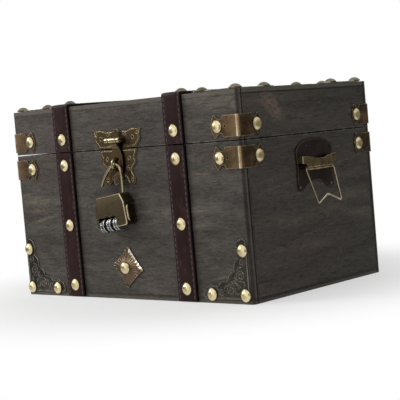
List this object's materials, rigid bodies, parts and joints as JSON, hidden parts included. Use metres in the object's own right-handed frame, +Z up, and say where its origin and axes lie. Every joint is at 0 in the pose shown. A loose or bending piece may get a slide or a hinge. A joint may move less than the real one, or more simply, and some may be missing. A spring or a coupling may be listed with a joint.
{
  "type": "treasure chest",
  "caption": "Small wooden treasure chest with a hinged lid, leather straps, dome nails, corner fittings, wire side handles and a hasp closed by a dial padlock.",
  "frame": {"origin": "centre of the chest's underside", "axes": "+X along the chest's length, towards the end seen in the picture; +Y to the back; +Z up"},
  "size_m": [0.295, 0.1901, 0.1707],
  "materials": {
    "stained_wood": "dark grey-brown stain with faint pale grain, satin",
    "strap_leather": "burgundy-brown strap with stitched edges, satin",
    "bright_brass": "polished pale brass",
    "antique_brass": "antiqued brass, rubbed bright on edges",
    "dark_bronze": "dark bronze, embossed",
    "copper_bronze": "coppery bronze, fluted",
    "blackened_metal": "near-black, satin",
    "dial_nickel": "nickel with black figures"
  },
  "bodies": {
    "chest": {"body_back_panel": "stained_wood", "body_back_strap_left": "strap_leather", "body_back_strap_right": "strap_leather", "body_bottom_panel": "stained_wood", "body_bracket_back_left": "antique_brass", "body_bracket_back_right": "antique_brass", "body_bracket_front_left": "antique_brass", "body_bracket_front_right": "antique_brass", "body_corner_plate_left": "dark_bronze", "body_corner_plate_right": "dark_bronze", "body_front_panel": "stained_wood", "body_front_strap_left": "strap_leather", "body_front_strap_right": "strap_leather", "body_left_panel": "stained_wood", "body_right_panel": "stained_wood", "handle_bracket_left": "antique_brass", "handle_bracket_right": "antique_brass", "handle_plate_left": "blackened_metal", "handle_plate_right": "blackened_metal", "hasp_lower_plate": "antique_brass", "hasp_staple": "antique_brass", "hinge_body_leaf_left": "antique_brass", "hinge_body_leaf_right": "antique_brass", "hinge_pin_left": "antique_brass", "hinge_pin_right": "antique_brass", "rosette_nail": "bright_brass", "rosette_plate": "copper_bronze"},
    "lid": {"hasp_pin": "antique_brass", "hasp_upper_plate": "antique_brass", "hinge_lid_leaf_left": "antique_brass", "hinge_lid_leaf_right": "antique_brass", "lid_back_panel": "stained_wood", "lid_bracket_back_left": "antique_brass", "lid_bracket_back_right": "antique_brass", "lid_bracket_front_left": "antique_brass", "lid_bracket_front_right": "antique_brass", "lid_corner_plate_back_left": "dark_bronze", "lid_corner_plate_back_right": "dark_bronze", "lid_corner_plate_front_left": "dark_bronze", "lid_corner_plate_front_right": "dark_bronze", "lid_front_panel": "stained_wood", "lid_left_panel": "stained_wood", "lid_right_panel": "stained_wood", "lid_strap_left": "strap_leather", "lid_strap_right": "strap_leather", "lid_top_panel": "stained_wood"},
    "hasp_tongue": {"hasp_tongue": "antique_brass"},
    "padlock_shackle": {"padlock_shackle": "antique_brass"},
    "padlock_case": {"padlock_case": "antique_brass", "padlock_shackle_pin": "antique_brass", "padlock_spindle": "blackened_metal"},
    "dial_1": {"padlock_dial_1": "dial_nickel"},
    "dial_2": {"padlock_dial_2": "dial_nickel"},
    "dial_3": {"padlock_dial_3": "dial_nickel"},
    "release": {"padlock_release": "antique_brass"},
    "bail_right": {"handle_bail_right": "antique_brass"},
    "bail_left": {"handle_bail_left": "antique_brass"}
  },
  "joints": [
    {"name": "lid_open", "type": "hinge", "parent": "chest", "child": "lid", "pos_m": [0, 0.0884, 0.126], "axis": [-1, 0, 0], "range_deg": [0, 100]},
    {"name": "hasp_swing", "type": "hinge", "parent": "lid", "child": "hasp_tongue", "pos_m": [0, -0.0911, 0.1333], "axis": [-1, 0, 0], "range_deg": [0, 164]},
    {"name": "padlock_swing", "type": "hinge", "parent": "chest", "child": "padlock_shackle", "pos_m": [0, -0.0914, 0.1133], "axis": [-1, 0, 0], "range_deg": [0, 75]},
    {"name": "padlock_close", "type": "hinge", "parent": "padlock_shackle", "child": "padlock_case", "pos_m": [0.0071, -0.0914, 0.087], "axis": [0, 1, 0], "range_deg": [0, 28]},
    {"name": "dial_1_turn", "type": "hinge", "parent": "padlock_case", "child": "dial_1", "pos_m": [-0.01414, -0.0929, 0.06257], "axis": [0.9903, 0, 0.1392], "continuous": true},
    {"name": "dial_2_turn", "type": "hinge", "parent": "padlock_case", "child": "dial_2", "pos_m": [-0.00631, -0.0929, 0.06367], "axis": [0.9903, 0, 0.1392], "continuous": true},
    {"name": "dial_3_turn", "type": "hinge", "parent": "padlock_case", "child": "dial_3", "pos_m": [0.00151, -0.0929, 0.06477], "axis": [0.9903, 0, 0.1392], "continuous": true},
    {"name": "release_press", "type": "slide", "parent": "padlock_case", "child": "release", "axis": [-0.9903, 0, -0.1392], "range_m": [0, 0.0008], "stiffness_N_per_m": 150, "springref_m": -0.001},
    {"name": "bail_right_swing", "type": "hinge", "parent": "chest", "child": "bail_right", "pos_m": [0.1389, 0.003, 0.098], "axis": [0, -1, 0], "range_deg": [-21.5, 112]},
    {"name": "bail_left_swing", "type": "hinge", "parent": "chest", "child": "bail_left", "pos_m": [-0.1389, 0.003, 0.098], "axis": [0, 1, 0], "range_deg": [-21.5, 112]}
  ]
}
